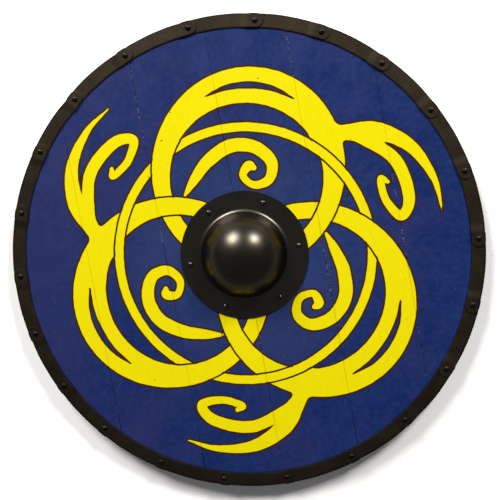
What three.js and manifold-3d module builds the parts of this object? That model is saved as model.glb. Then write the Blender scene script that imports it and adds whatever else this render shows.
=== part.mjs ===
// A round wooden shield, lying face up: six painted planks side by side, a blackened steel boss over
// the hand hole, a steel rim of folded strips riveted round the edge, and a wooden grip and two battens
// across the back. Millimetres, +Z up out of the shield's face. The planks run along Y and the grip
// along X. The origin is under the middle of the shield, at the level that the back's bars rest on.
import * as THREE from "three";
import { mergeVertices } from "three/addons/utils/BufferGeometryUtils.js";
import Module from "manifold-3d";

const wasm = await Module();
wasm.setup();

// Driving dimensions
const shieldRadius = 380;
const plankCount = 6;
const plankWidth = 126;
const boardThickness = 10;
const boardEdgeClearance = 0.8;
const handHoleRadius = 60;
const handHoleSides = 36;
const gap = 0.3;

const rimSteel = 1.2;
const rimFaceWidth = 22;
const rimBackWidth = 16;
// Where the rim's rivets sit, in degrees clockwise from +Y. The strips differ a little in length.
const rimRivetAzimuths = [
  12.8, 29.3, 45.8, 62.2, 79.1, 95.9, 112.3, 129.4, 145.8, 162.1, 179.3,
  195.4, 212.1, 229.0, 244.1, 259.3, 274.4, 290.6, 306.8, 322.7, 339.3, 356.3,
];
const lapBeforeRivet = 9.3;
const tonguePastRivet = 13;
const joggleLength = 2.4;
const tongueSides = 6;
const rimDivisions = 4;

const rivetShankRadius = 2.5;
const rivetSides = 6;
const rimRivetHead = { radius: 4.6, height: 2.8 };
const rimRivetTail = { radius: 3.8, height: 1.1 };

const bossSteel = 1.6;
const bossFlangeRadius = 102.5;
const bossDomeRadius = 68;
const bossFilletRadius = 8.5;
const bossCrownHeight = 88.35;
const bossRivetCount = 6;
const bossRivetRing = 88.4;
const bossSides = 28;
const bossRivetHead = { radius: 4.4, height: 3.4 };
const bossRivetTail = { radius: 4.2, height: 1.3 };

const barThickness = 15;
const barWidth = 34;
const barChamfer = 3;
const barEndTaper = 12;
const barTipNarrowing = 8;
const barTipDrop = 6;
const gripHalfLength = 300;
const gripHandWidth = 27;
const gripHandThickness = 22;
const gripHandHalfLength = 48;
const gripShoulder = 7;
const battenOffset = 190;
const battenHalfLength = 284;

// Heights, from the surface that the bars rest on
const boardBack = barThickness + gap;
const boardFace = boardBack + boardThickness;
const rimBackBottom = boardBack - gap - rimSteel;
const rimFaceBottom = boardFace + gap;
const rimFaceTop = rimFaceBottom + rimSteel;
const tongueBottom = rimFaceTop + gap;
const tongueTop = tongueBottom + rimSteel;
const flangeBottom = boardFace + gap;
const flangeTop = flangeBottom + bossSteel;

const stripCount = rimRivetAzimuths.length;
const boardRadius = shieldRadius - rimSteel - boardEdgeClearance;
const rivetCircle = shieldRadius - rimFaceWidth / 2;

const radians = THREE.MathUtils.degToRad;
const degrees = THREE.MathUtils.radToDeg;

// Azimuths are in degrees, clockwise from +Y as the face is seen.
const polar = (radius, azimuth) =>
  new THREE.Vector2(radius * Math.sin(radians(azimuth)), radius * Math.cos(radians(azimuth)));

// An arc length on the rivet circle, as an azimuth step.
const alongRim = (length) => degrees(length / rivetCircle);

// The azimuth of a rim rivet. The one before the first is the last, a turn back.
function rimRivetAzimuth(index) {
  return index < 0 ? rimRivetAzimuths.at(index) - 360 : rimRivetAzimuths[index];
}

// Solids for joining and cutting
function solidOf(geometry) {
  const bare = geometry.clone();
  bare.deleteAttribute("normal");
  bare.deleteAttribute("uv");
  const merged = mergeVertices(bare, 1e-4);
  return new wasm.Manifold(
    new wasm.Mesh({
      numProp: 3,
      vertProperties: merged.attributes.position.array,
      triVerts: new Uint32Array(merged.index.array),
    }),
  );
}

function geometryOf(solid) {
  const mesh = solid.getMesh();
  return new THREE.BufferGeometry()
    .setAttribute("position", new THREE.BufferAttribute(mesh.vertProperties, 3))
    .setIndex(new THREE.BufferAttribute(mesh.triVerts, 1))
    .toNonIndexed();
}

// A flat outline, given as points, raised from one height to another.
function slab(points, bottom, top) {
  const outline = new THREE.Shape(points);
  const raised = new THREE.ExtrudeGeometry(outline, { depth: top - bottom, bevelEnabled: false });
  return solidOf(raised.translate(0, 0, bottom));
}

const arc = (radius, from, to, divisions) =>
  Array.from({ length: divisions + 1 }, (_, i) => polar(radius, from + ((to - from) * i) / divisions));

const ringPart = (inner, outer, from, to, divisions) => [
  ...arc(outer, from, to, divisions),
  ...arc(inner, to, from, divisions),
];

function rectangle(left, right, low, high) {
  return [
    new THREE.Vector2(left, low),
    new THREE.Vector2(right, low),
    new THREE.Vector2(right, high),
    new THREE.Vector2(left, high),
  ];
}

// An upright hole cutter with flat sides, at a place given as a Vector2.
function holeCutter(place, radius, sides, bottom, top) {
  const round = arc(radius, 0, 360, sides).slice(0, -1);
  return slab(round.map((point) => point.add(place)), bottom, top);
}

const shankHole = (place, bottom = 0, top = tongueTop + 1) =>
  holeCutter(place, rivetShankRadius + gap, rivetSides, bottom, top);

const rimRivetPlaces = Array.from({ length: stripCount }, (_, i) =>
  polar(rivetCircle, rimRivetAzimuth(i)),
);
const bossRivetPlaces = Array.from({ length: bossRivetCount }, (_, i) =>
  polar(bossRivetRing, (360 / bossRivetCount) * (i + 0.5)),
);

// Planks: strips of one disc, with half the seam gap off each meeting edge
function plank(index) {
  const left = (index - plankCount / 2) * plankWidth + gap / 2;
  const right = left + plankWidth - gap;
  const board = arc(boardRadius, 0, 360, stripCount * rimDivisions).slice(0, -1);
  const outerLeft = index === 0 ? -shieldRadius : left;
  const outerRight = index === plankCount - 1 ? shieldRadius : right;
  const strip = rectangle(outerLeft, outerRight, -shieldRadius, shieldRadius);
  let solid = slab(board, boardBack, boardFace).intersect(slab(strip, boardBack, boardFace));
  const middle = new THREE.Vector2();
  solid = solid.subtract(
    holeCutter(middle, handHoleRadius, handHoleSides, boardBack - 1, boardFace + 1),
  );
  for (const place of [...rimRivetPlaces, ...bossRivetPlaces]) {
    const reach = rivetShankRadius + gap;
    if (place.x > outerLeft - reach && place.x < outerRight + reach) {
      solid = solid.subtract(shankHole(place, boardBack - 1, boardFace + 1));
    }
  }
  return geometryOf(solid);
}

// One rim strip: folded over the board's edge, its start under the tongue of the strip before it, and its
// own rounded tongue over the start of the strip after it
function rimStrip(index) {
  const here = rimRivetAzimuth(index - 1);
  const next = rimRivetAzimuth(index);
  const start = here - alongRim(lapBeforeRivet);
  const wallEnd = next - alongRim(lapBeforeRivet + gap);
  const joggleStart = wallEnd - alongRim(joggleLength);
  const inner = shieldRadius - rimFaceWidth;
  const wall = ringPart(shieldRadius - rimSteel, shieldRadius, start, wallEnd, rimDivisions);
  const face = ringPart(inner, shieldRadius, start, wallEnd, rimDivisions);
  const back = ringPart(shieldRadius - rimBackWidth, shieldRadius, start, wallEnd, rimDivisions);
  const joggle = ringPart(inner, shieldRadius, joggleStart, wallEnd, 1);
  return geometryOf(
    slab(wall, rimBackBottom, rimFaceTop)
      .add(slab(face, rimFaceBottom, rimFaceTop))
      .add(slab(back, rimBackBottom, rimBackBottom + rimSteel))
      .add(slab(joggle, rimFaceBottom, tongueTop))
      .add(slab(tongueOutline(joggleStart, next), tongueBottom, tongueTop))
      .subtract(shankHole(polar(rivetCircle, here)))
      .subtract(shankHole(polar(rivetCircle, next))),
  );
}

// The tongue's outline: the full width of the face, ended by a half circle just past the rivet
function tongueOutline(from, rivetAzimuth) {
  const halfWidth = rimFaceWidth / 2;
  const endAzimuth = rivetAzimuth + alongRim(tonguePastRivet - halfWidth);
  const centre = polar(rivetCircle, endAzimuth);
  const outward = polar(1, endAzimuth);
  const forward = polar(1, endAzimuth + 90);
  const end = Array.from({ length: tongueSides + 1 }, (_, i) => {
    const turn = (Math.PI * i) / tongueSides;
    return centre
      .clone()
      .addScaledVector(outward, halfWidth * Math.cos(turn))
      .addScaledVector(forward, halfWidth * Math.sin(turn));
  });
  return [polar(shieldRadius, from), ...end, polar(shieldRadius - rimFaceWidth, from)];
}

// A turned piece, from a profile of [radius, height] that starts and ends on the axis
function turned(profile, sides) {
  const points = profile.map(([radius, height]) => new THREE.Vector2(radius, height));
  return new THREE.LatheGeometry(points, sides).rotateX(Math.PI / 2);
}

// A rivet standing at its head's seat: domed head above, shank and hammered tail below
function rivet(head, tail, grip) {
  return turned(
    [
      [0, -grip - tail.height],
      [tail.radius, -grip],
      [rivetShankRadius, -grip],
      [rivetShankRadius, 0],
      [head.radius, 0],
      [head.radius * Math.SQRT1_2, head.height * Math.SQRT1_2],
      [0, head.height],
    ],
    rivetSides,
  );
}

// The boss: a domed cap on a hollow fillet and a flat flange, one wall thickness throughout
function bossProfile() {
  const reach = bossDomeRadius + bossFilletRadius;
  const domeHeight = bossCrownHeight - bossDomeRadius;
  const slope = Math.acos((flangeTop + bossFilletRadius - domeHeight) / reach);
  const filletRing = reach * Math.sin(slope);
  const domeSteps = 5;
  const filletSteps = 2;
  const side = (inset) => {
    const dome = bossDomeRadius - inset;
    const fillet = bossFilletRadius + inset;
    const points = [];
    for (let i = 0; i <= domeSteps; i++) {
      const turn = (slope * i) / domeSteps;
      points.push([dome * Math.sin(turn), domeHeight + dome * Math.cos(turn)]);
    }
    for (let i = filletSteps - 1; i >= 0; i--) {
      const turn = (slope * i) / filletSteps;
      points.push([
        filletRing - fillet * Math.sin(turn),
        flangeTop + bossFilletRadius - fillet * Math.cos(turn),
      ]);
    }
    points.push([bossFlangeRadius, flangeTop - inset]);
    return points;
  };
  return [...side(bossSteel), ...side(0).reverse()];
}

function boss() {
  let solid = solidOf(turned(bossProfile(), bossSides));
  for (const place of bossRivetPlaces) {
    solid = solid.subtract(shankHole(place, flangeBottom - 1, flangeTop + 1));
  }
  return geometryOf(solid);
}

// A bar along X, lofted through eight-sided sections: each is {x, width, top} with its corners cut off
function bar(sections) {
  const positions = [];
  const rings = sections.map(({ x, width, top }) => {
    const half = width / 2;
    const inset = half - barChamfer;
    return [
      [x, inset, 0],
      [x, half, barChamfer],
      [x, half, top - barChamfer],
      [x, inset, top],
      [x, -inset, top],
      [x, -half, top - barChamfer],
      [x, -half, barChamfer],
      [x, -inset, 0],
    ];
  });
  const corners = rings[0].length;
  for (let r = 0; r < rings.length - 1; r++) {
    for (let i = 0; i < corners; i++) {
      const j = (i + 1) % corners;
      positions.push(...rings[r][i], ...rings[r + 1][j], ...rings[r + 1][i]);
      positions.push(...rings[r][i], ...rings[r][j], ...rings[r + 1][j]);
    }
  }
  const first = rings[0];
  const last = rings[rings.length - 1];
  for (let i = 1; i < corners - 1; i++) {
    positions.push(...first[0], ...first[i + 1], ...first[i]);
    positions.push(...last[0], ...last[i], ...last[i + 1]);
  }
  return new THREE.BufferGeometry().setAttribute(
    "position",
    new THREE.BufferAttribute(new Float32Array(positions), 3),
  );
}

// One end's sections, from the tip inwards, repeated at the other end
const mirrored = (half) => [...half.map((s) => ({ ...s, x: -s.x })), ...half.toReversed()];

const barTip = { width: barWidth - barTipNarrowing, top: barThickness - barTipDrop };

function grip() {
  const solid = solidOf(
    bar(
      mirrored([
        { x: gripHalfLength, ...barTip },
        { x: gripHalfLength - barEndTaper, width: barWidth, top: barThickness },
        { x: gripHandHalfLength + 2 * gripShoulder, width: barWidth, top: barThickness },
        {
          x: gripHandHalfLength + gripShoulder,
          width: (barWidth + gripHandWidth) / 2,
          top: barThickness,
        },
        { x: gripHandHalfLength, width: gripHandWidth, top: gripHandThickness },
      ]),
    ),
  );
  let bored = solid;
  for (const x of [-bossRivetRing, bossRivetRing]) {
    const place = new THREE.Vector2(x, 0);
    const sinkTop = bossRivetTail.height + 2 * gap;
    bored = bored
      .subtract(shankHole(place, -1))
      .subtract(holeCutter(place, bossRivetTail.radius + gap, rivetSides, -1, sinkTop));
  }
  return geometryOf(bored);
}

function batten() {
  return bar(
    mirrored([
      { x: battenHalfLength, ...barTip },
      { x: battenHalfLength - barEndTaper, width: barWidth, top: barThickness },
    ]),
  );
}

// Materials
const paint = new THREE.MeshStandardMaterial({ color: 0x27346e, roughness: 0.45, metalness: 0 });
const bareWood = new THREE.MeshStandardMaterial({ color: 0xb08a5b, roughness: 0.7, metalness: 0 });
const rimMetal = new THREE.MeshStandardMaterial({ color: 0x2c2620, roughness: 0.5, metalness: 0.8 });
const bossMetal = new THREE.MeshStandardMaterial({ color: 0x1d1c1a, roughness: 0.35, metalness: 0.9 });
const rivetMetal = new THREE.MeshStandardMaterial({ color: 0x24211e, roughness: 0.4, metalness: 0.9 });

const shield = new THREE.Group();

function place(name, geometry, material, at = new THREE.Vector3()) {
  const mesh = new THREE.Mesh(geometry, material);
  mesh.name = name;
  mesh.position.copy(at);
  shield.add(mesh);
}

for (let i = 0; i < plankCount; i++) {
  place(`plank_${i + 1}`, plank(i), paint);
}

const twoDigits = (number) => String(number).padStart(2, "0");
const rimHeadSeat = tongueTop + gap;
const rimRivetGrip = rimHeadSeat - (rimBackBottom - gap);
for (let i = 0; i < stripCount; i++) {
  place(`rim_strip_${twoDigits(i + 1)}`, rimStrip(i), rimMetal);
  const at = new THREE.Vector3(rimRivetPlaces[i].x, rimRivetPlaces[i].y, rimHeadSeat);
  place(`rim_rivet_${twoDigits(i + 1)}`, rivet(rimRivetHead, rimRivetTail, rimRivetGrip), rivetMetal, at);
}

place("boss", boss(), bossMetal);

// The two boss rivets on the grip's line are longer and go through the grip too
const bossHeadSeat = flangeTop + gap;
bossRivetPlaces.forEach(({ x, y }, i) => {
  const throughGrip = Math.abs(y) < 1;
  const tailSeat = throughGrip ? bossRivetTail.height + gap : boardBack - gap;
  const body = rivet(bossRivetHead, bossRivetTail, bossHeadSeat - tailSeat);
  place(`boss_rivet_${i + 1}`, body, rivetMetal, new THREE.Vector3(x, y, bossHeadSeat));
});

place("grip", grip(), bareWood);
place("batten_upper", batten(), bareWood, new THREE.Vector3(0, battenOffset, 0));
place("batten_lower", batten(), bareWood, new THREE.Vector3(0, -battenOffset, 0));

export default shield;
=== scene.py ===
"""The looks of a round wooden shield, lying face up on a pale floor. Metres, +Z up.

Six painted planks with eased edges, a rim of folded steel strips whose rounded tongues lap and are
riveted, a domed steel boss, and on the back a carved grip and two nailed battens.
"""
import math

import bpy
import numpy as np
from mathutils import Matrix


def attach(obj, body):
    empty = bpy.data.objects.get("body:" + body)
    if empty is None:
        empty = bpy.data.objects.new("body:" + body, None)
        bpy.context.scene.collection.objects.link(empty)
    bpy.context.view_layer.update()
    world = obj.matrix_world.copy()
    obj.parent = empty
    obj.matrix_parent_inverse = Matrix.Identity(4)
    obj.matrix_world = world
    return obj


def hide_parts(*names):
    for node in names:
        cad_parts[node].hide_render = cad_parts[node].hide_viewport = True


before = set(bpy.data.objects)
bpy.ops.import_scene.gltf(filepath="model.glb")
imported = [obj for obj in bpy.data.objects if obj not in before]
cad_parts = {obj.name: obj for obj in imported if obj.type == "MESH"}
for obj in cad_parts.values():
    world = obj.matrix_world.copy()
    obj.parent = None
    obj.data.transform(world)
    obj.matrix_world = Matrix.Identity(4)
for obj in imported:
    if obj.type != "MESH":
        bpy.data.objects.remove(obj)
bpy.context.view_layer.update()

MM = 0.001
rng = np.random.default_rng(17)

# Sizes, in millimetres, as the solids have them
SHIELD_R = 380.0
BOARD_R = 378.0
PLANKS, PLANK_W = 6, 126.0
BOARD_BACK, BOARD_FACE = 15.3, 25.3
HAND_HOLE_R = 60.0
RIM_STEEL = 1.2
RIM_FACE_W, RIM_BACK_W = 22.0, 16.0
RIM_FACE_TOP, TONGUE_TOP, RIM_BACK_LOW = 26.8, 28.3, 13.8
RIVET_RING = 369.0
# Where the rim's rivets sit, in degrees clockwise from +Y
RIVET_AZIMUTHS = [12.8, 29.3, 45.8, 62.2, 79.1, 95.9, 112.3, 129.4, 145.8, 162.1, 179.3,
                  195.4, 212.1, 229.0, 244.1, 259.3, 274.4, 290.6, 306.8, 322.7, 339.3, 356.3]
STRIPS = len(RIVET_AZIMUTHS)
BOSS_STEEL, FLANGE_R, FLANGE_TOP = 1.6, 102.5, 27.2
DOME_R, DOME_CENTRE, BOSS_FILLET = 68.0, 20.35, 8.5
BOSS_RIVET_RING = 88.4
SHANK_R = 2.5
GRIP_HALF, BATTEN_HALF, BATTEN_Y = 300, 284, 190


# Meshes
def new_piece(name, verts_mm, faces, materials, face_slots=None, sharp=40.0):
    """A shaded mesh object from points in millimetres."""
    mesh = bpy.data.meshes.new(name)
    mesh.from_pydata((np.asarray(verts_mm, float) * MM).tolist(), [], faces)
    for m in materials:
        mesh.materials.append(m)
    if face_slots is not None:
        mesh.polygons.foreach_set("material_index", np.asarray(face_slots, np.int32))
    mesh.polygons.foreach_set("use_smooth", np.ones(len(mesh.polygons), bool))
    mesh.update()
    mesh.set_sharp_from_angle(angle=math.radians(sharp))
    obj = bpy.data.objects.new(name, mesh)
    bpy.context.scene.collection.objects.link(obj)
    return obj


def stand_for(obj, node):
    """The piece takes the place of a solid, and rides with the shield."""
    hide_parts(node)
    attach(obj, "root")


def ease(t):
    """0 to 1 for t from 0 to 1, with level ends."""
    t = min(1, max(0, t))
    return t * t * (3 - 2 * t)


def grid_faces(rows, cols, wrap=False):
    """Quads over rows x cols points numbered row by row. wrap closes each row on itself."""
    i, j = np.meshgrid(np.arange(rows - 1), np.arange(cols if wrap else cols - 1), indexing="ij")
    a = i * cols + j
    b = i * cols + (j + 1) % cols
    return np.stack([a, b, b + cols, a + cols], -1).reshape(-1, 4)


def boundary_edges(quads):
    """Edges that only one face has, in that face's direction."""
    ends = np.stack([quads, np.roll(quads, -1, axis=1)], -1).reshape(-1, 2)
    there = {tuple(e) for e in ends.tolist()}
    return [e for e in there if (e[1], e[0]) not in there]


def thick_sheet(xy, quads, top, bottom):
    """A closed solid from a flat mesh: its upper and lower heights, and walls round every border."""
    n = len(xy)
    verts = np.vstack([np.c_[xy, top], np.c_[xy, bottom]])
    walls = [(b, a, a + n, b + n) for a, b in boundary_edges(quads)]
    faces = quads.tolist() + (quads[:, ::-1] + n).tolist() + walls
    slots = [0] * len(quads) + [1] * (len(quads) + len(walls))
    return verts, faces, slots


def lathe(profile, sides, start_angle=0.0):
    """A surface turned round Z from [radius, height] rows that start and end on the axis."""
    rows = [p for p in profile if p[0] > 1e-9]
    ang = start_angle + np.arange(sides) * 2 * math.pi / sides
    ring = np.c_[np.cos(ang), np.sin(ang)]
    verts = np.vstack([np.c_[ring * r, np.full(sides, z)] for r, z in rows])
    faces = grid_faces(len(rows), sides, wrap=True).tolist()
    verts = np.vstack([verts, [(0, 0, profile[0][1]), (0, 0, profile[-1][1])]])
    first, last = len(verts) - 2, len(verts) - 1
    end = (len(rows) - 1) * sides
    for i in range(sides):
        j = (i + 1) % sides
        faces.append([first, j, i])
        faces.append([last, end + i, end + j])
    return verts, faces


# Smooth noise with a fixed seed: a sum of a few waves
def waves(count, shortest, longest, seed):
    """Random directions and phases for soft unevenness with wavelengths between the two, in mm."""
    r = np.random.default_rng(seed)
    length = np.exp(r.uniform(math.log(shortest), math.log(longest), count))
    ang = r.uniform(0, 2 * math.pi, count)
    k = 2 * math.pi / length
    return k * np.cos(ang), k * np.sin(ang), r.uniform(0, 2 * math.pi, count), length / longest


def uneven(x, y, w):
    """The waves' sum at x, y, between about -1 and 1."""
    kx, ky, phase, size = w
    total = np.zeros(np.shape(x))
    for a, b, p, s in zip(kx, ky, phase, size):
        total += s * np.sin(a * x + b * y + p)
    return total / np.sqrt((size ** 2).sum())


# The painted ribbons: three interlaced loops, a ring through them, curls and leaves
def spline(points, step=1.6):
    """A smooth line through [x, y, half width, height] rows, resampled evenly."""
    p = np.array(points, float)
    p = np.vstack([2 * p[0] - p[1], p, 2 * p[-1] - p[-2]])
    out = []
    for a, b, c, d in zip(p[:-3], p[1:-2], p[2:-1], p[3:]):
        n = max(2, int(np.hypot(*(c - b)[:2]) / step))
        t = np.linspace(0, 1, n, endpoint=False)[:, None]
        out.append(0.5 * (2 * b + (c - a) * t + (2 * a - 5 * b + 4 * c - d) * t ** 2
                          + (3 * b - a - 3 * c + d) * t ** 3))
    out.append(p[-2:-1])
    return np.vstack(out)


def turned(rows, degrees):
    """The rows turned clockwise about the shield's centre."""
    c, s = math.cos(math.radians(degrees)), math.sin(math.radians(degrees))
    return [(x * c + y * s, -x * s + y * c, *rest) for x, y, *rest in rows]


def from_polar(rows):
    """[radius, azimuth, half width] rows as x, y rows. Azimuths are clockwise from +Y."""
    return [(r * math.sin(math.radians(a)), r * math.cos(math.radians(a)), hw, 0) for r, a, hw in rows]


LOOP_CENTRE, LOOP_R, RING_R, RING_HALF = 128.0, 138.0, 203.0, 7.8
LOOP_STRETCH, LOOP_NARROW, LOOP_SWELL = 1.02, 13.5, 15.5
LOOP_ANGLES = [-180, -114, -98, -81, -50, 0, 50, 81, 98, 114, 180]
LOOP_LAYER = [.5, 0, .5, 1, .6, .5, .4, 0, .5, 1, .5]


def loop_rows():
    """One loop: narrow by the boss, broad outside, and over and under by turns where others cross."""
    rows = []
    for deg in range(-180, 181, 4):
        a = math.radians(deg)
        half = LOOP_NARROW + LOOP_SWELL * max(0.0, math.cos(a / 2 - 0.07)) ** 5
        layer = float(np.interp(deg, LOOP_ANGLES, LOOP_LAYER))
        rows.append((LOOP_R * math.sin(a), LOOP_CENTRE + LOOP_R * LOOP_STRETCH * math.cos(a), half, layer))
    return rows


CURL = [(-98, 92, 3, 0), (-84, 117, 8.5, 0), (-62, 148, 11, 0), (-28, 172, 11.5, 0), (10, 172, 11, 0),
        (38, 150, 10, 0), (36, 122, 8.5, 0), (12, 112, 7, 0), (-6, 126, 6.5, 0), (2, 142, 8.5, 0),
        (11, 139, 5, 0)]
LEAF = from_polar([(222, 29, 9), (252, 38, 13), (286, 45, 14), (312, 55, 10.5), (321, 66, 6), (319, 75, 2)])
LEAF_CURL = from_polar([(256, 40, 9), (280, 55, 10.5), (276, 68, 10), (256, 74, 8.5), (240, 67, 7),
                        (246, 59, 6.5), (254, 61, 4)])
SLIT = [(-70, 249, .4, 0), (-37, 263.5, 3.6, 0), (0, 268.5, 4.8, 0), (37, 263.5, 3.6, 0), (70, 249, .4, 0)]
LOOP_TURN = 12.0
PAINTED_FROM, PAINTED_TO = 85, 340
CURL_CORNER, LEAF_CORNER = 9, 6
FAR = 60.0


def band_distance(x, y, line):
    """Signed distance to a band's edge, and the band's layer at the nearest point."""
    best, layer = np.full(x.shape, 1e9), np.zeros(x.shape)
    for cx, cy, hw, h in line:
        d = np.hypot(x - cx, y - cy) - max(hw, 0.2)
        nearer = d < best
        best[nearer] = d[nearer]
        layer[nearer] = h
    return best, layer


def grown_together(d, e, soft):
    """The union of two shapes with a rounded inner corner."""
    h = np.clip(0.5 + 0.5 * (e - d) / soft, 0, 1)
    return e * (1 - h) + d * h - soft * h * (1 - h)


def ribbon_fields(x, y):
    """Signed distances in mm at each point: to the edge of all that is yellow, and for each band to its
    own edge and to the edge of what lies over it."""
    near = (np.hypot(x, y) > PAINTED_FROM) & (np.hypot(x, y) < PAINTED_TO)
    px, py = x[near], y[near]
    bands = [(np.abs(np.hypot(px, py) - RING_R) - RING_HALF, np.full(px.shape, 0.5))]
    for k in range(3):
        turn = LOOP_TURN + 120 * k
        d, layer = band_distance(px, py, spline(turned(loop_rows(), turn)))
        curl, _ = band_distance(px, py, spline(turned(CURL, turn)))
        leaf, _ = band_distance(px, py, spline(turned(LEAF, turn)))
        leaf_curl, _ = band_distance(px, py, spline(turned(LEAF_CURL, turn)))
        slit, _ = band_distance(px, py, spline(turned(SLIT, turn)))
        leaves = grown_together(leaf, leaf_curl, LEAF_CORNER)
        d = grown_together(grown_together(d, curl, CURL_CORNER), leaves, CURL_CORNER)
        bands.append((np.maximum(d, -slit), layer))
    fields = {"ribbon_fill": np.min([d for d, _ in bands], axis=0)}
    for i, (d, layer) in enumerate(bands):
        over = [np.where(other > layer, e, FAR) for e, other in bands[:i] + bands[i + 1:]]
        fields[f"band_{i}"] = d
        fields[f"over_{i}"] = np.min(over, axis=0)
    for name, values in fields.items():
        whole = np.full(x.shape, FAR)
        whole[near] = np.clip(values, -FAR, FAR)
        fields[name] = whole
    return fields


# Materials
class Nodes:
    """A small helper to wire one procedural material."""

    def __init__(self, name):
        self.mat = bpy.data.materials.new(name)
        self.mat.use_nodes = True
        self.tree = self.mat.node_tree
        self.shader = self.tree.nodes["Principled BSDF"]

    def add(self, kind, **values):
        node = self.tree.nodes.new(kind)
        for key, value in values.items():
            setattr(node, key, value)
        return node

    def put(self, node, name, value):
        """Sets a socket to a value, or links another node's output into it."""
        socket = node.inputs[name]
        if isinstance(value, bpy.types.NodeSocket):
            self.tree.links.new(value, socket)
        else:
            socket.default_value = value

    def place(self, scale=(1, 1, 1), offset=(0, 0, 0)):
        """The piece's own coordinates in millimetres, stretched."""
        coord = self.add("ShaderNodeTexCoord")
        mapping = self.add("ShaderNodeMapping")
        self.put(mapping, "Vector", coord.outputs["Object"])
        mapping.inputs["Scale"].default_value = [1000 * s for s in scale]
        mapping.inputs["Location"].default_value = offset
        return mapping.outputs["Vector"]

    def noise(self, vector, scale, detail=3.0, rough=0.55, distortion=0.0):
        node = self.add("ShaderNodeTexNoise")
        for key, value in (("Vector", vector), ("Scale", scale), ("Detail", detail),
                           ("Roughness", rough), ("Distortion", distortion)):
            self.put(node, key, value)
        return node.outputs["Fac"]

    def math(self, operation, a, b=0.0, c=0.0):
        node = self.add("ShaderNodeMath", operation=operation)
        for i, value in enumerate((a, b, c)):
            if isinstance(value, bpy.types.NodeSocket):
                self.tree.links.new(value, node.inputs[i])
            else:
                node.inputs[i].default_value = value
        return node.outputs[0]

    def ramp(self, value, low, high, to_low=0.0, to_high=1.0):
        """value's range low to high, mapped and clamped."""
        node = self.add("ShaderNodeMapRange", interpolation_type="SMOOTHSTEP")
        for key, v in (("Value", value), ("From Min", low), ("From Max", high),
                       ("To Min", to_low), ("To Max", to_high)):
            self.put(node, key, v)
        return node.outputs["Result"]

    def mix(self, share, a, b, blend="MIX"):
        node = self.add("ShaderNodeMix", data_type="RGBA", blend_type=blend)
        self.put(node, 0, share)
        self.put(node, 6, a)
        self.put(node, 7, b)
        return node.outputs[2]

    def attribute(self, name):
        return self.add("ShaderNodeAttribute", attribute_name=name).outputs["Fac"]

    def bump(self, height, strength, distance_mm):
        node = self.add("ShaderNodeBump")
        self.put(node, "Height", height)
        self.put(node, "Strength", strength)
        self.put(node, "Distance", distance_mm * MM)
        self.put(self.shader, "Normal", node.outputs["Normal"])

    def finish(self, **values):
        for key, value in values.items():
            self.put(self.shader, key.replace("_", " "), value)
        return self.mat


def srgb(r, g, b):
    """A colour given in 0 to 255, as linear light."""
    return [((c / 255 + 0.055) / 1.055) ** 2.4 if c > 10 else c / 255 / 12.92 for c in (r, g, b)] + [1.0]


def outline_distance(n, wobble):
    """The distance in mm to the nearest painted outline that no band covers."""
    line = FAR
    for i in range(4):
        band = n.math("ABSOLUTE", n.math("ADD", n.attribute(f"band_{i}"), n.math("SUBTRACT", wobble, 0.5)))
        hidden = n.math("MULTIPLY", n.attribute(f"over_{i}"), -1.0)
        line = n.math("MINIMUM", line, n.math("MAXIMUM", band, hidden))
    return line


def blue_paint(n, here, mottle, streak):
    """The mottled blue, a little redder towards the left and paler in the middle."""
    across = n.add("ShaderNodeSeparateXYZ")
    n.put(across, "Vector", here)
    cloud = n.math("MULTIPLY_ADD", across.outputs["X"], -0.0004, n.noise(here, 0.0065, 3.0, 0.55, 0.4))
    layers = ((n.ramp(cloud, 0.38, 0.68, 0.0, 0.8), srgb(31, 35, 78)),
              (n.ramp(n.noise(here, 0.035, 3.0), 0.52, 0.72, 0.0, 0.3), srgb(33, 37, 84)),
              (n.ramp(n.noise(here, 0.13, 3.0, 0.6), 0.38, 0.66, 0.0, 0.3), srgb(34, 46, 94)),
              (n.ramp(streak, 0.42, 0.75, 0.0, 0.3), srgb(8, 20, 68)),
              (n.ramp(n.attribute("rim_gap"), 110, 250, 0.0, 0.24), srgb(44, 62, 100)))
    blue = n.mix(n.ramp(mottle, 0.3, 0.7), srgb(6, 28, 77), srgb(15, 34, 83))
    for share, colour in layers:
        blue = n.mix(share, blue, colour)
    return blue


def seam_share(n, here, along, edge, fill):
    """How dark the seams are. The paint bridges them in places, and they are fainter in the yellow."""
    crack = n.ramp(n.noise(here, 0.02, 3.0, 0.6), 0.38, 0.6, 0.45, 1.15)
    line = n.ramp(n.math("DIVIDE", edge, crack), 0.2, 0.95, 1.0, 0.0)
    broken = n.ramp(n.noise(along, 0.13, 2.0, 0.5), 0.38, 0.62, 0.12, 1.0)
    return n.math("MULTIPLY", n.math("MULTIPLY", line, broken), n.ramp(fill, -0.5, 0.5, 0.2, 1.0))


def chip_share(n, here, edge, fill):
    """Where the blue has chipped off beside a seam."""
    worn = n.ramp(n.noise(here, 0.012, 2.0, 0.5), 0.52, 0.62)
    chips = n.math("MULTIPLY", n.ramp(n.noise(here, 0.42, 2.0, 0.6), 0.56, 0.62), worn)
    chips = n.math("MULTIPLY", chips, n.ramp(edge, 0.7, 1.5, 0.42, 0.0))
    return n.math("MULTIPLY", chips, n.ramp(fill, -0.4, 0.4))


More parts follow.
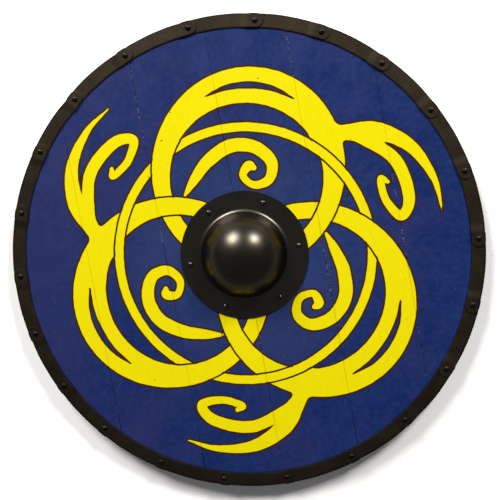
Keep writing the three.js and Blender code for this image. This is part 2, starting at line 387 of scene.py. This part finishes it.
def paint_material():
    """Blue and yellow paint. Its edges follow the distances that the planks' points carry."""
    n = Nodes("painted_wood")
    here = n.place()
    along = n.place(scale=(1.0, 0.06, 1.0))
    edge = n.attribute("plank_edge")
    wobble = n.math("MULTIPLY", n.math("SUBTRACT", n.noise(here, 0.09, 2.0), 0.5), 1.6)
    # Below 0 in the yellow
    fill = n.math("ADD", n.attribute("ribbon_fill"), wobble)
    mottle = n.noise(here, 0.016, 5.0, 0.62)
    streak = n.noise(along, 0.55, 4.0, 0.65)
    yellow = n.mix(n.ramp(streak, 0.35, 0.7, 0.0, 0.5), srgb(201, 189, 0), srgb(192, 179, 0))
    colour = n.mix(n.ramp(fill, -0.35, 0.35), yellow, blue_paint(n, here, mottle, streak))
    colour = n.mix(n.ramp(outline_distance(n, wobble), 1.1, 1.85), srgb(50, 19, 8), colour)
    speck = n.noise(here, 0.19, 1.0, 0.4)
    colour = n.mix(n.ramp(speck, 0.78, 0.81), colour, srgb(30, 22, 20))
    colour = n.mix(seam_share(n, here, along, edge, fill), colour, srgb(14, 12, 22))
    colour = n.mix(chip_share(n, here, edge, fill), colour, srgb(140, 142, 156))
    fleck = n.math("MULTIPLY", n.ramp(n.noise(here, 0.3, 1.0, 0.5), 0.775, 0.80), n.ramp(fill, 1.5, 2.5))
    colour = n.mix(n.math("MULTIPLY", fleck, 0.25), colour, srgb(110, 118, 150))
    # Painted shade along the rim's inner edge, where the rim shades the paint
    colour = n.mix(n.ramp(n.attribute("rim_gap"), 1.3, 2.0, 0.6, 0.0), colour, srgb(10, 9, 12))
    grain = n.math("MULTIPLY", n.noise(here, 0.3), 0.3)
    n.bump(n.math("ADD", n.math("MULTIPLY", streak, 0.7), grain), 0.25, 0.25)
    # The yellow is the glossier paint
    rough = n.math("MULTIPLY", n.ramp(mottle, 0.3, 0.7, 0.40, 0.52), n.ramp(fill, -0.3, 0.3, 0.7, 1.0))
    return n.finish(Base_Color=colour, Roughness=rough, Specular_IOR_Level=0.17)


def wood_material(name, light, dark, along_x=False, seed=0.0, ring=0.035, roughness=0.62):
    """Bare planed wood, its grain along X or Y."""
    n = Nodes(name)
    stretch = (0.05, 1.0, 1.0) if along_x else (1.0, 0.05, 1.0)
    grain = n.place(scale=stretch, offset=(seed * 37.0, seed * 11.0, seed * 5.0))
    fine = n.noise(grain, 1.3, 5.0, 0.65)
    broad = n.noise(grain, ring, 3.0, 0.5, 0.6)
    rings = n.math("FRACT", n.math("MULTIPLY", broad, 14.0))
    rings = n.ramp(n.math("ABSOLUTE", n.math("SUBTRACT", rings, 0.5)), 0.05, 0.5)
    colour = n.mix(rings, srgb(*light), srgb(*dark))
    colour = n.mix(n.ramp(fine, 0.4, 0.75, 0.0, 0.55), colour, srgb(*[c * 0.72 for c in dark]))
    n.bump(n.math("ADD", n.math("MULTIPLY", fine, 0.7), n.math("MULTIPLY", rings, 0.3)), 0.35, 0.3)
    return n.finish(Base_Color=colour, Roughness=roughness)


def steel_material(name, dark, light, rust, rough_low, rough_high, bump_mm, oil=0.0, darker_above=None,
                   dark_bend=0.0):
    """Blackened steel. darker_above: a height in mm above which it is a little darker, a painted shade for
    the dim surroundings that the dome would mirror.
    dark_bend: how far it is blacker where the mesh's bend attribute is 1, a painted shade on the rim's
    outer bend."""
    n = Nodes(name)
    here = n.place()
    cloud = n.noise(here, 0.02, 4.0, 0.6)
    fine = n.noise(here, 0.5, 4.0, 0.6)
    colour = n.mix(n.ramp(cloud, 0.35, 0.68), srgb(*dark), srgb(*light))
    colour = n.mix(n.ramp(n.noise(here, 0.06, 5.0, 0.65), 0.56, 0.74, 0.0, 0.7), colour, srgb(*rust))
    # Painted shade: the steel is darkened above this height, in place of dark surroundings mirrored in the
    # boss's dome
    if darker_above:
        height = n.add("ShaderNodeSeparateXYZ")
        n.put(height, "Vector", here)
        top = n.ramp(height.outputs["Z"], darker_above, darker_above + 6, 0.0, 0.14)
        colour = n.mix(top, colour, srgb(0, 0, 0))
    # Painted shade on the strip's outer bend
    if dark_bend:
        colour = n.mix(n.ramp(n.attribute("bend"), 0.0, 0.8, 0.0, dark_bend), colour, srgb(4, 4, 4))
    n.bump(n.math("ADD", n.math("MULTIPLY", n.noise(here, 0.045, 2.0), 0.8), n.math("MULTIPLY", fine, 0.2)),
           0.5, bump_mm)
    return n.finish(Base_Color=colour, Metallic=1.0, Coat_Weight=oil, Coat_Roughness=0.14,
                    Roughness=n.ramp(fine, 0.3, 0.7, rough_low, rough_high))


painted = paint_material()
PLANK_TONES = [1.0, 0.94, 1.03, 0.97, 0.92, 1.01]
bare = [wood_material(f"bare_plank_{i + 1}", [c * tone for c in (208, 174, 126)],
                      [c * tone for c in (180, 142, 94)], seed=1.0 + i)
        for i, tone in enumerate(PLANK_TONES)]
bar_wood = wood_material("bar_wood", (176, 134, 86), (146, 104, 62), along_x=True, seed=9.0, ring=0.05,
                         roughness=0.5)
# The rim's steel has a painted shade on the outer bend of each strip
rim_steel = steel_material("rim_steel", (49, 43, 34), (58, 51, 40), (61, 46, 34), 0.44, 0.56, 0.2,
                           dark_bend=0.75)
# The boss's steel has a painted shade over the dome above 30 mm
boss_steel = steel_material("boss_steel", (66, 63, 56), (73, 70, 62), (70, 66, 55), 0.29, 0.33, 0.10,
                            darker_above=30)
rim_rivet_steel = steel_material("rim_rivet_steel", (32, 28, 25), (42, 37, 33), (42, 32, 26), 0.38, 0.46,
                                 0.1, oil=0.07)
boss_rivet_steel = steel_material("boss_rivet_steel", (50, 46, 42), (62, 57, 52), (60, 52, 45), 0.32, 0.40,
                                  0.1, oil=0.35)
nail_steel = steel_material("nail_steel", (58, 54, 50), (78, 72, 66), (84, 58, 40), 0.40, 0.55, 0.15)


# Planks. Their seams are finer than the gaps between the solids
SEAM = 0.1
GRID = 2.0
EASED_W, EASED_DEPTH = 1.1, 0.6
# Distances from a side at which the points stand closer than the grid
SIDE_STEPS = np.array([0, 0.25, 0.55, 0.95, 1.5, 2.4, 3.8])
GRID_FROM = 5.5
# The outer planks' tips are cut off this far inside the board's round edge
TIP_CUT = 0.3


def plank_sides(index):
    """The x of a plank's two sides."""
    left = (index - PLANKS / 2) * PLANK_W + SEAM / 2
    right = left + PLANK_W - SEAM
    return max(left, TIP_CUT - BOARD_R), min(right, BOARD_R - TIP_CUT)


def from_seam(x, index):
    """The distance from x to the plank's nearest seam. The outer planks have one seam each."""
    left, right = plank_sides(index)
    if index == 0:
        return right - x
    if index == PLANKS - 1:
        return x - left
    return np.minimum(x - left, right - x)


def plank_columns(left, right):
    """Places across a plank, close together near its eased edges."""
    count = int((right - left - 2 * GRID_FROM) / GRID) + 1
    inner = np.linspace(left + GRID_FROM, right - GRID_FROM, count)
    return np.concatenate([left + SIDE_STEPS, inner, (right - SIDE_STEPS)[::-1]])


def plank_half(xs, upper):
    """One half of a plank's outline as rows of points from the middle, or the hand hole, to the rim."""
    inner = np.sqrt(np.maximum(0, HAND_HOLE_R ** 2 - xs ** 2))
    outer = np.sqrt(np.maximum(0, BOARD_R ** 2 - xs ** 2))
    steps = int(outer.max() / GRID) + 1
    t = np.linspace(0, 1, steps)[:, None]
    y = inner + t * (outer - inner)
    x = np.broadcast_to(xs, y.shape)
    return np.stack([x, y if upper else -y], -1).reshape(-1, 2), grid_faces(steps, len(xs))


def plank_sheet(index):
    """A plank's flat mesh: points and quads, in two halves that share the points on the middle line."""
    xs = plank_columns(*plank_sides(index))
    top, quads_top = plank_half(xs, True)
    bottom, quads_bottom = plank_half(xs, False)
    xy = np.vstack([top, bottom])
    quads = np.vstack([quads_top, quads_bottom[:, ::-1] + len(top)])
    _, first, where = np.unique(np.round(xy, 4), axis=0, return_index=True, return_inverse=True)
    return xy[first], where.reshape(-1)[quads]


def build_plank(index):
    """A plank, painted on its face and bare behind."""
    xy, quads = plank_sheet(index)
    x, y = xy[:, 0], xy[:, 1]
    from_edge = from_seam(x, index)
    from_centre = np.hypot(x, y)
    eased = EASED_DEPTH * np.maximum(0, 1 - from_edge / EASED_W) ** 2
    # Planing leaves both faces a little uneven
    planed = np.clip(0.06 + 0.06 * uneven(x * 2.2, y * 0.35, waves(12, 30, 160, 50 + index)), 0, 0.2)
    top, bottom = BOARD_FACE - eased - planed, BOARD_BACK + eased * 0.8 + planed
    verts, faces, slots = thick_sheet(xy, quads, top, bottom)
    # The paint runs down into the seams and round under the rim, but not into the hand hole
    # Under the rim these walls take the painted shade of the rim's inner edge, so the gaps between strips
    # show dark
    covered = (from_edge < 0.01) | (from_centre > BOARD_R - 0.1)
    for i in range(2 * len(quads), len(faces)):
        if all(covered[v % len(xy)] for v in faces[i]):
            slots[i] = 0
    obj = new_piece(f"painted_plank_{index + 1}", verts, faces, [painted, bare[index]], slots)
    fields = ribbon_fields(x, y)
    fields["plank_edge"] = from_edge
    fields["rim_gap"] = SHIELD_R - RIM_FACE_W - from_centre
    for name, values in fields.items():
        attribute = obj.data.attributes.new(name, "FLOAT", "POINT")
        attribute.data.foreach_set("value", np.tile(values, 2).astype(np.float32))
    stand_for(obj, f"plank_{index + 1}")


for i in range(PLANKS):
    build_plank(i)


# Rim. A strip starts before one rivet, and its tongue ends past the next. Lengths are along the rim
STRIP_STARTS_BEFORE, WALL_ENDS_BEFORE, TONGUE_CENTRE_PAST = 9.3, 9.6, 2.0
LIFT_LENGTH = 16.0
FOLD_HEIGHT = 4.0
RIM_BEND, BEND_CREST, BEND_REACH = 1.7, 0.5, 2.6
FACE_POINTS, STRIP_ROWS, TONGUE_ROWS = 9, 40, 14


def rivet_azimuth(k):
    """The azimuth of rivet k. The one before the first is the last, a turn back."""
    return RIVET_AZIMUTHS[k] - (360 if k < 0 else 0)


def along_rim(length):
    """The angle of a length along the ring of rivets."""
    return math.degrees(length / RIVET_RING)


def strip_section():
    """The folded strip's outer surface, from the face's inner edge round to the back's: radius, height."""
    bend, inner = RIM_BEND, SHIELD_R - RIM_BEND
    arc = np.linspace(0, math.pi / 2, 6)[1:-1]
    face = [(inner - (1 - t) * (RIM_FACE_W - bend), RIM_FACE_TOP) for t in np.linspace(0, 1, FACE_POINTS)]
    up = [(inner + bend * math.sin(a), RIM_FACE_TOP - bend + bend * math.cos(a)) for a in arc]
    wall = [(SHIELD_R, z) for z in np.linspace(RIM_FACE_TOP - bend, RIM_BACK_LOW + bend, 4)]
    down = [(inner + bend * math.cos(a), RIM_BACK_LOW + bend - bend * math.sin(a)) for a in arc]
    back = [(inner - t * (RIM_BACK_W - bend), RIM_BACK_LOW) for t in np.linspace(0, 1, 5)]
    return face + up + wall + down + back


def near_bend(radius, height):
    """1 on the strip's outer bend, falling to 0 within the bend's reach. It masks the painted shade on the
    bend.
    """
    away = math.hypot(radius - (SHIELD_R - BEND_CREST), height - (RIM_FACE_TOP - BEND_CREST))
    return max(0.0, 1 - away / BEND_REACH)


def dent(offset, depth):
    """How far the rim is drawn in near a joint: offset in degrees from the rivet."""
    return depth * math.exp(-(math.hypot(offset + 2.0, 0.35) - 0.35) / 1.7)


def folded_rows(start, wall_end):
    """The folded part, rising towards the tongue: rows of azimuth, radius, height and near_bend's value."""
    lift_from = wall_end - along_rim(LIFT_LENGTH)
    rows = []
    for azimuth in np.linspace(start, wall_end, STRIP_ROWS):
        lift = (TONGUE_TOP - RIM_FACE_TOP) * ease((azimuth - lift_from) / (wall_end - lift_from))
        row = []
        for radius, height in strip_section():
            share = min(1, max(0.0, 1 - (RIM_FACE_TOP - height) / FOLD_HEIGHT))
            row.append((azimuth, radius, height + lift * share, near_bend(radius, height)))
        rows.append(row)
    return rows


def tongue_rows(wall_end, centre):
    """The face alone, up to a half round end, in rows like those of the folded part."""
    half = RIM_FACE_W / 2
    middle = SHIELD_R - half
    rows = []
    for t in np.linspace(0, 1, TONGUE_ROWS + 1)[1:]:
        row = []
        for radius in np.linspace(middle - half, SHIELD_R, FACE_POINTS + 1):
            v = 0.985 * (radius - middle) / half
            reach = centre + along_rim(half * math.sqrt(1 - v ** 2))
            # The outer edge is drawn in a little towards the tip
            inwards = 0.25 * t * (radius > SHIELD_R - 1)
            azimuth = wall_end + (reach - wall_end) * t
            row.append((azimuth, radius - inwards, TONGUE_TOP, near_bend(radius, RIM_FACE_TOP)))
        rows.append(row)
    return rows


def row_faces(rows):
    """Quads between neighbouring rows, each as far as the later row goes."""
    faces, start = [], 0
    for row, following in zip(rows, rows[1:]):
        after = start + len(row)
        faces += [(after + j, after + j + 1, start + j + 1, start + j) for j in range(len(following) - 1)]
        start = after
    return faces


def thicken(obj):
    """Gives a strip its steel's thickness, inwards, and blunt edges."""
    solid = obj.modifiers.new("steel", "SOLIDIFY")
    solid.thickness = RIM_STEEL * MM
    solid.offset = -1.0
    solid.use_even_offset = True
    bevel = obj.modifiers.new("edges", "BEVEL")
    bevel.width = 0.25 * MM
    bevel.segments = 2
    bevel.limit_method = "ANGLE"
    bevel.angle_limit = math.radians(50)


def build_strip(k):
    """Strip k, from before rivet k - 1 to its tongue over rivet k."""
    here, following = rivet_azimuth(k - 1), rivet_azimuth(k)
    wall_end = following - along_rim(WALL_ENDS_BEFORE)
    rows = folded_rows(here - along_rim(STRIP_STARTS_BEFORE), wall_end)
    rows += tongue_rows(wall_end, following + along_rim(TONGUE_CENTRE_PAST))
    sag = waves(5, 20, 70, 400 + k)
    verts, bends = [], []
    for azimuth, radius, height, bend in (point for row in rows for point in row):
        drawn = dent(azimuth - here, JOINT_DENTS[k - 1]) + dent(azimuth - following, JOINT_DENTS[k]) + 0.12
        drawn += 0.10 * (1 + float(uneven(azimuth * 6.6, height * 0.2, sag)))
        a = math.radians(azimuth)
        verts.append(((radius - drawn) * math.sin(a), (radius - drawn) * math.cos(a), height))
        bends.append(bend)
    obj = new_piece(f"bent_rim_strip_{k + 1:02d}", verts, row_faces(rows), [rim_steel])
    # bend: where the painted shade on the strip's outer bend lies
    obj.data.attributes.new("bend", "FLOAT", "POINT").data.foreach_set("value", bends)
    thicken(obj)
    stand_for(obj, f"rim_strip_{k + 1:02d}")


# How deep each joint is dented. A few are knocked in further, as in the photograph
JOINT_DENTS = 0.3 + 0.6 * rng.random(STRIPS)
JOINT_DENTS[[2, 9, 15, 19, 20]] = (1.3, 1.0, 1.1, 1.7, 1.1)
for k in range(STRIPS):
    build_strip(k)


# Rivets
HEAD_GAP, TAIL_TOUCH = 0.02, 0.1
GRIP_TAIL_SEAT = 1.6
HEAD_EDGE = 0.35


def rivet_profile(head_r, head_h, seat, tail_r, tail_h, tail_seat):
    """From the tail's lowest point, up the shank, and over the mushroom head to its top."""
    quarter = math.pi / 2
    tail = [(0, tail_seat - tail_h)]
    tail += [(tail_r * math.sin(a), tail_seat - tail_h * (0.25 + 0.75 * math.cos(a)))
             for a in np.linspace(0, quarter, 6)[1:]]
    shank = [(tail_r, tail_seat), (SHANK_R, tail_seat), (SHANK_R, seat), (head_r, seat)]
    head = [(head_r * math.cos(a), seat + HEAD_EDGE + (head_h - HEAD_EDGE) * math.sin(a))
            for a in np.linspace(0, quarter, 7)[:-1]]
    return tail + shank + head + [(0, seat + head_h)]


def build_rivet(name, node, azimuth, ring, profile, steel, seed):
    """A rivet at a place on a ring. Each is struck a little out of round."""
    verts, faces = lathe(profile, 28)
    r = np.random.default_rng(seed)
    squeeze = 1 - 0.03 * r.random()
    a = math.radians(r.uniform(0, 180))
    c, s = math.cos(a), math.sin(a)
    x, y = verts[:, 0] * c + verts[:, 1] * s, -verts[:, 0] * s + verts[:, 1] * c
    x = x * squeeze
    verts[:, 0], verts[:, 1] = x * c - y * s, x * s + y * c
    verts[:, 0] += ring * math.sin(math.radians(azimuth))
    verts[:, 1] += ring * math.cos(math.radians(azimuth))
    obj = new_piece(name, verts, faces, [steel], sharp=50)
    stand_for(obj, node)


RIM_RIVET = rivet_profile(4.5, 2.7, TONGUE_TOP + HEAD_GAP, 3.7, 1.1, RIM_BACK_LOW - TAIL_TOUCH)
for k in range(STRIPS):
    # The joint's dent draws its rivet in too
    ring = RIVET_RING - JOINT_DENTS[k] * 0.6
    build_rivet(f"domed_rim_rivet_{k + 1:02d}", f"rim_rivet_{k + 1:02d}", rivet_azimuth(k), ring,
                RIM_RIVET, rim_rivet_steel, 500 + k)

for k in range(6):
    through_grip = k in (1, 4)
    tail_seat = GRIP_TAIL_SEAT if through_grip else BOARD_BACK - TAIL_TOUCH
    profile = rivet_profile(4.3, 3.3, FLANGE_TOP + HEAD_GAP, 4.1, 1.3, tail_seat)
    build_rivet(f"domed_boss_rivet_{k + 1}", f"boss_rivet_{k + 1}", 30 + 60 * k, BOSS_RIVET_RING, profile,
                boss_rivet_steel, 600 + k)


# Boss
LIP = 0.4


def boss_side(inset, low_steps, dome_steps):
    """The boss's profile from the flange's edge, round the fillet, to the crown, drawn in by inset."""
    dome, fillet = DOME_R - inset, BOSS_FILLET + inset
    fillet_height = FLANGE_TOP + BOSS_FILLET
    steep = math.acos((fillet_height - DOME_CENTRE) / (DOME_R + BOSS_FILLET))
    ring = (DOME_R + BOSS_FILLET) * math.sin(steep)
    points = [(r, FLANGE_TOP - inset) for r in np.linspace(FLANGE_R - LIP, ring + 1, 8)]
    points += [(ring - fillet * math.sin(a), fillet_height - fillet * math.cos(a))
               for a in np.linspace(0, steep, low_steps)]
    points += [(dome * math.sin(a), DOME_CENTRE + dome * math.cos(a))
               for a in np.linspace(steep, 0, dome_steps)[1:]]
    return points


def build_boss():
    """The boss, hollow and open at the back."""
    outer = boss_side(0.0, 14, 40)
    inner = boss_side(BOSS_STEEL, 10, 24)
    lip = [(FLANGE_R, FLANGE_TOP - BOSS_STEEL + LIP), (FLANGE_R, FLANGE_TOP - LIP)]
    profile = inner[::-1] + lip + outer
    verts, faces = lathe(profile, 160)
    obj = new_piece("raised_boss", verts, faces, [boss_steel])
    stand_for(obj, "boss")


build_boss()


# Bars on the back. Their sections lie just inside the solids'
BAR_W, BAR_TOP, BAR_CORNER = 33.4, 14.8, 2.6
CORNER_POINTS = 6
END_W, END_TOP, END_LENGTH = 26, 9, 12.0
END_STEPS = (0.3, 1.5, 4, 8, 12)
HAND_NARROWING, HAND_RISE, HAND_ROUNDING = 6.6, 7.0, 5.4


def rounded_section(width, top, corner):
    """A rounded rectangle standing on height 0, anticlockwise seen from +X: y, z rows."""
    half, c = width / 2, min(corner, top / 2 - 0.1)
    corners = ((half - c, c, -90), (half - c, top - c, 0), (c - half, top - c, 90), (c - half, c, 180))
    rows = []
    for cy, cz, begin in corners:
        for i in range(CORNER_POINTS):
            a = math.radians(begin + 90 * i / (CORNER_POINTS - 1))
            rows.append((cy + c * math.cos(a), cz + c * math.sin(a)))
    return rows


def build_bar(name, node, y, sections, material):
    """A bar through [x, width, top, corner] sections, with its nail holes left to the cutter."""
    verts, count = [], 4 * CORNER_POINTS
    for x, width, top, corner in sections:
        verts += [(x, y + a, b) for a, b in rounded_section(width, top, corner)]
    n = len(sections)
    faces = grid_faces(n, count, wrap=True).tolist()
    faces.append(list(range(count))[::-1])
    faces.append([(n - 1) * count + i for i in range(count)])
    obj = new_piece(name, verts, faces, [material])
    stand_for(obj, node)
    return obj


def bar_section(x, half_length):
    """A bar's width and top at x. It is lower and narrower at its ends."""
    end = ease((half_length - abs(x)) / END_LENGTH)
    return END_W + (BAR_W - END_W) * end, END_TOP + (BAR_TOP - END_TOP) * end


def batten_sections(half_length):
    """A plain bar's [x, width, top, corner] sections."""
    xs = [-half_length + d for d in END_STEPS]
    xs = xs + list(np.linspace(xs[-1] + 10, -xs[-1] - 10, 24)) + [-x for x in xs[::-1]]
    return [(x, *bar_section(x, half_length), BAR_CORNER) for x in xs]


def grip_sections():
    """Sections of a bar that is narrower, higher and rounder where the hand holds it."""
    xs = [-GRIP_HALF + d for d in END_STEPS]
    xs += list(np.linspace(-270, -75, 12)) + list(np.linspace(-68, -40, 15)) + list(np.linspace(-34, 34, 9))
    xs += [-x for x in xs[::-1] if x < -39]
    rows = []
    for x in xs:
        width, top = bar_section(x, GRIP_HALF)
        hand = ease((61 - abs(x)) / 13.5)
        rise = ease((54.5 - abs(x)) / 8.0)
        width -= HAND_NARROWING * hand
        rows.append((x, width, top + HAND_RISE * rise, BAR_CORNER + HAND_ROUNDING * hand))
    return rows


def sink(obj, places, radius, depth):
    """Cuts a countersink into the bar's underside at each place."""
    verts, faces = [], []
    for x, y in places:
        profile = [(0, -1), (radius * 1.3, -1), (radius * 1.12, 0), (radius, depth), (0, depth)]
        v, f = lathe(profile, 20)
        faces += [[i + len(verts) for i in face] for face in f]
        verts += (v + (x, y, 0)).tolist()
    cutter = new_piece("countersinks", verts, faces, [])
    cut = obj.modifiers.new("cut", "BOOLEAN")
    cut.operation, cut.solver, cut.object = "DIFFERENCE", "EXACT", cutter
    graph = bpy.context.evaluated_depsgraph_get()
    done = bpy.data.meshes.new_from_object(obj.evaluated_get(graph))
    obj.modifiers.clear()
    obj.data = done
    for polygon in done.polygons:
        polygon.use_smooth = polygon.normal.z > -0.999
    done.set_sharp_from_angle(angle=math.radians(40))
    bpy.data.objects.remove(cutter)


NAIL_HEAD = [(0, 0.25), (1.4, 0.35), (2.6, 0.7), (3.1, 1.2), (3.1, 1.5), (0, 1.5)]


def build_nails(name, places, seed):
    """Hand-made nails, each head lying just inside its countersink."""
    r = np.random.default_rng(seed)
    verts, faces = [], []
    for x, y in places:
        v, f = lathe(NAIL_HEAD, 14, r.uniform(0, 0.4))
        v[:, :2] *= 1 + 0.05 * r.standard_normal((len(v), 1)) * (v[:, 2:] < 1.4)
        v += (x + r.uniform(-0.3, 0.3), y + r.uniform(-0.3, 0.3), 0)
        faces += [[i + len(verts) for i in face] for face in f]
        verts += v.tolist()
    obj = new_piece(name, verts, faces, [nail_steel], sharp=60)
    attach(obj, "root")


def nail_places(y, xs, seed):
    """Places along a bar at the given x, to and fro across its middle line."""
    r = np.random.default_rng(seed)
    return [(x + r.uniform(-2, 2), y + (7 if i % 2 else -7) + r.uniform(-1, 1)) for i, x in enumerate(xs)]


NAIL_PIT_R, NAIL_PIT_DEPTH = 3.5, 1.55
RIVET_PIT_R, RIVET_PIT_DEPTH = 4.4, 1.75
NAIL_SPREAD = [-260, -210, -162, -92, -34, 30, 96, 158, 214, 258]
GRIP_NAILS = [-282, -246, -166, 162, 244, 280]
for name, node, y, sections, xs in (
        ("carved_grip", "grip", 0, grip_sections(), GRIP_NAILS),
        ("planed_batten_upper", "batten_upper", BATTEN_Y, batten_sections(BATTEN_HALF), NAIL_SPREAD),
        ("planed_batten_lower", "batten_lower", -BATTEN_Y, batten_sections(BATTEN_HALF), NAIL_SPREAD)):
    body = build_bar(name, node, y, sections, bar_wood)
    places = nail_places(y, xs, 700 + y)
    sink(body, places, NAIL_PIT_R, NAIL_PIT_DEPTH)
    if node == "grip":
        sink(body, [(-BOSS_RIVET_RING, 0), (BOSS_RIVET_RING, 0)], RIVET_PIT_R, RIVET_PIT_DEPTH)
    build_nails(f"nails_of_{node}", places, 800 + y)


# Lights, floor and camera, in degrees and metres
LIGHTS_MIDDLE, LIGHT_SPREAD, LIGHT_ELEVATION, LIGHT_DISTANCE = 9.93, 32, 33, 5.5
WARM_WHITE = (1.0, 0.975, 0.95)
SURROUNDINGS = 0.15
FLOOR_HALF = 6
PALE_TO_MM, GREY_FROM_MM = 640, 1600
CAMERA_PLACE = (0.10191, 0.07379, 1.19196)
CAMERA_AZIMUTH, CAMERA_ELEVATION, IMAGE_UP = 53.5168, 84.4211, 10.2287
SENSOR_WIDTH, IMAGE_WIDTH, FOCAL_PIXELS = 36, 500, 732.8


def direction(azimuth, elevation):
    """A unit vector. Azimuth is clockwise from +Y."""
    a, e = math.radians(azimuth), math.radians(elevation)
    return np.array([math.sin(a) * math.cos(e), math.cos(a) * math.cos(e), math.sin(e)])


def set_up(obj, place, back, upwards):
    """Puts a light or camera at a place, with its back to one direction and its top towards another."""
    right = np.cross(upwards, back)
    right /= np.linalg.norm(right)
    turn = Matrix(np.c_[right, np.cross(back, right), back].tolist()).to_4x4()
    turn.translation = list(place)
    obj.matrix_world = turn
    bpy.context.scene.collection.objects.link(obj)


def area_light(name, azimuth, size, watts):
    """A round soft light aimed at the shield."""
    data = bpy.data.lights.new(name, "AREA")
    data.shape = "DISK"
    data.size = size
    data.energy = watts
    data.color = WARM_WHITE
    obj = bpy.data.objects.new(name, data)
    back = direction(azimuth, LIGHT_ELEVATION)
    set_up(obj, back * LIGHT_DISTANCE, back, (0, 0, 1))


def build_surroundings():
    """An even, dim white all round."""
    world = bpy.data.worlds.new("studio")
    bpy.context.scene.world = world
    world.use_nodes = True
    background = world.node_tree.nodes["Background"]
    background.inputs["Color"].default_value = (1.0, 1.0, 1.0, 1.0)
    background.inputs["Strength"].default_value = SURROUNDINGS


def build_floor():
    """Pale round the shield and greyer further off, so that the dome mirrors no bright ring."""
    far = FLOOR_HALF
    mesh = bpy.data.meshes.new("floor")
    mesh.from_pydata([(-far, -far, 0), (far, -far, 0), (far, far, 0), (-far, far, 0)], [], [(0, 1, 2, 3)])
    obj = bpy.data.objects.new("floor", mesh)
    bpy.context.scene.collection.objects.link(obj)
    n = Nodes("floor")
    away = n.add("ShaderNodeVectorMath", operation="LENGTH")
    n.put(away, "Vector", n.place())
    pale = n.mix(n.noise(n.place(), 0.004), srgb(243, 243, 243), srgb(247, 247, 247))
    colour = n.mix(n.ramp(away.outputs["Value"], PALE_TO_MM, GREY_FROM_MM), pale, srgb(150, 150, 150))
    mesh.materials.append(n.finish(Base_Color=colour, Roughness=0.9))


def build_camera():
    """The camera that was fitted to the photograph."""
    data = bpy.data.cameras.new("camera")
    data.sensor_width = SENSOR_WIDTH
    data.lens = SENSOR_WIDTH * FOCAL_PIXELS / IMAGE_WIDTH
    obj = bpy.data.objects.new("camera", data)
    set_up(obj, CAMERA_PLACE, direction(CAMERA_AZIMUTH, CAMERA_ELEVATION), direction(IMAGE_UP, 0))
    bpy.context.scene.camera = obj


area_light("soft_left", LIGHTS_MIDDLE - LIGHT_SPREAD, 2.15, 462)
area_light("soft_right", LIGHTS_MIDDLE + LIGHT_SPREAD, 1.45, 352)
build_surroundings()
build_floor()
build_camera()
bpy.context.scene.view_settings.view_transform = "Standard"
